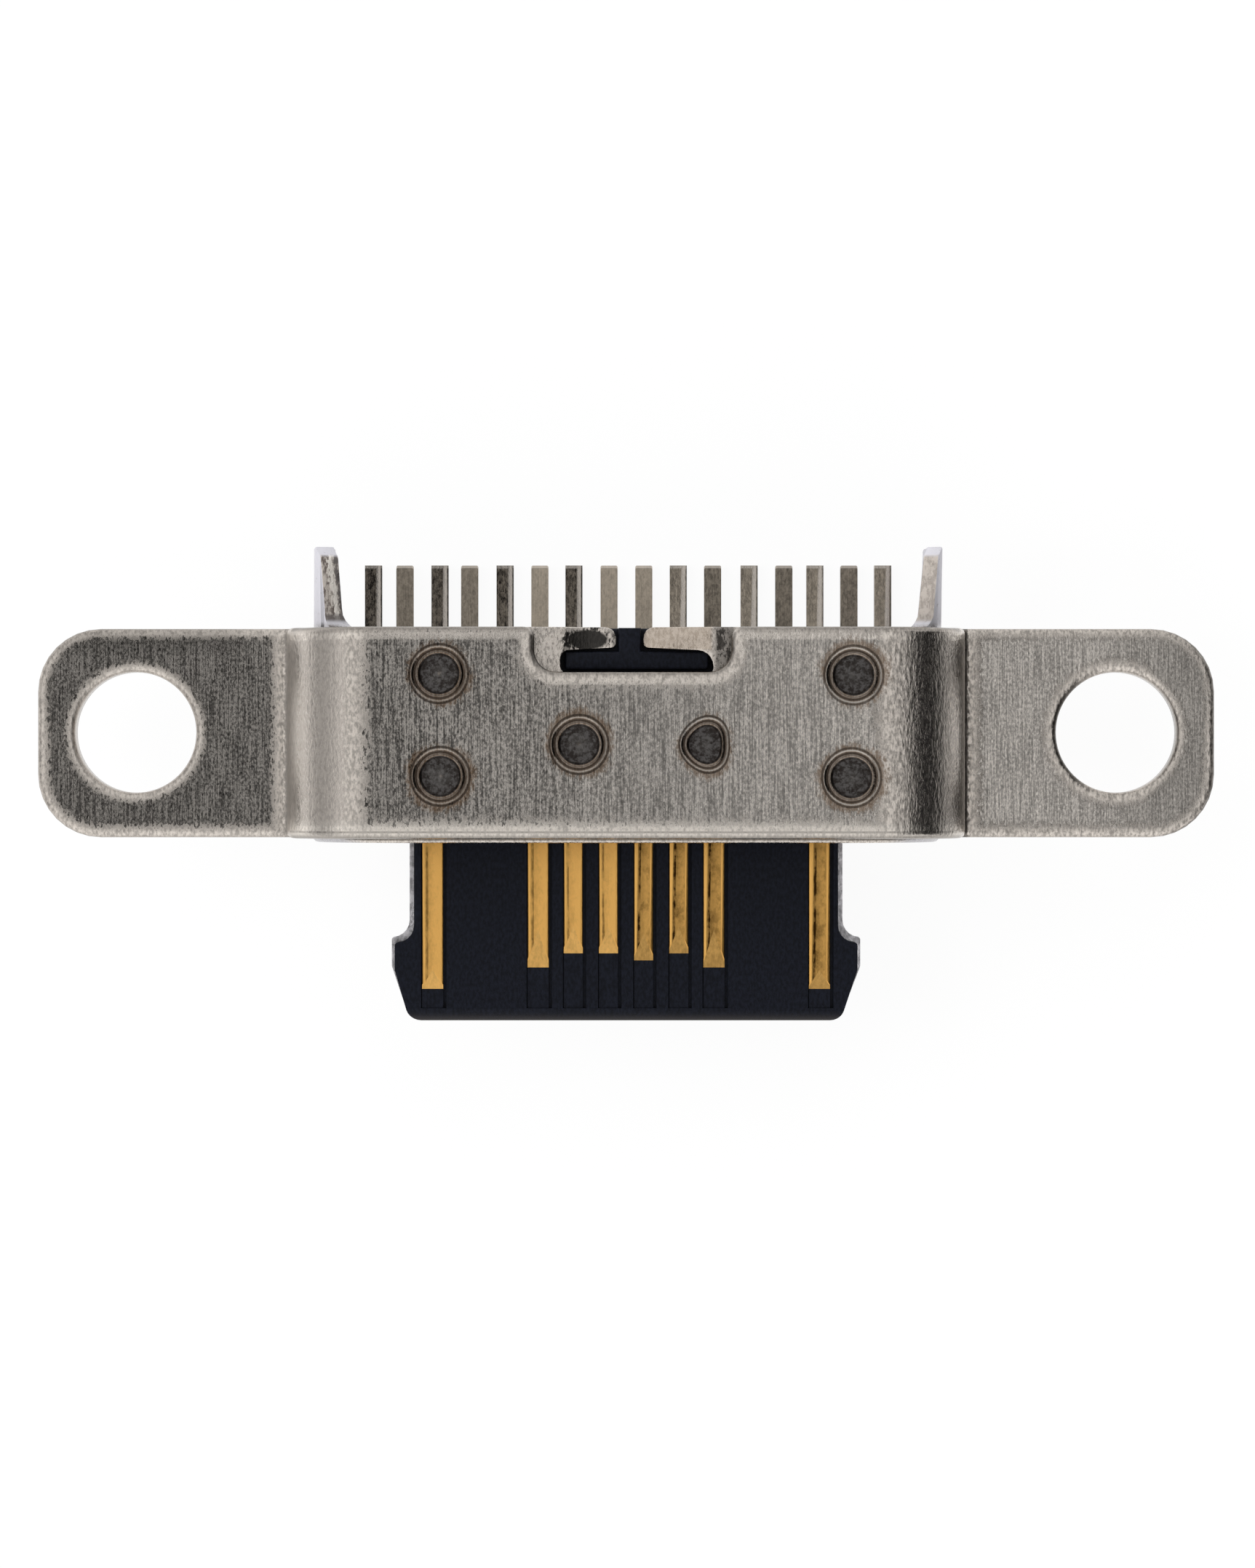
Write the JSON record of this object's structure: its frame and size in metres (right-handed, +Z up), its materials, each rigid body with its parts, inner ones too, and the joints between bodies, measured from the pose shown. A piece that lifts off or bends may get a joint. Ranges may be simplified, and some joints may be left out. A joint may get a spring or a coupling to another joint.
{
  "type": "usb-c socket",
  "caption": "Board-mounted USB-C socket: short oval steel shell, exposed contact tongue, solder tails and a hat-section steel bracket with screw ears.",
  "frame": {"origin": "midway between the two screw holes, on the face that the ears sit on", "axes": "+X across the contacts, +Y from the tongue's tip to the solder tails, +Z up through the bracket"},
  "size_m": [0.0168, 0.0067, 0.0034],
  "materials": {
    "bracket_steel": "brushed across the strip, edges smoother and brighter",
    "shell_steel": "satin",
    "black_plastic": "moulded, satin",
    "contact_gold": "gold plated on the blades, dull tin on the tails"
  },
  "bodies": {
    "root": {"mounting_bracket": "bracket_steel", "outer_shell": "shell_steel", "tongue_body": "black_plastic", "rear_base": "black_plastic", "mid_plate": "shell_steel", "upper_shield": "shell_steel", "lower_shield": "shell_steel", "contact_a1": "contact_gold", "contact_a4": "contact_gold", "contact_a5": "contact_gold", "contact_a6": "contact_gold", "contact_a7": "contact_gold", "contact_a8": "contact_gold", "contact_a9": "contact_gold", "contact_a12": "contact_gold", "contact_b12": "contact_gold", "contact_b9": "contact_gold", "contact_b8": "contact_gold", "contact_b7": "contact_gold", "contact_b6": "contact_gold", "contact_b5": "contact_gold", "contact_b4": "contact_gold", "contact_b1": "contact_gold"}
  },
  "joints": []
}
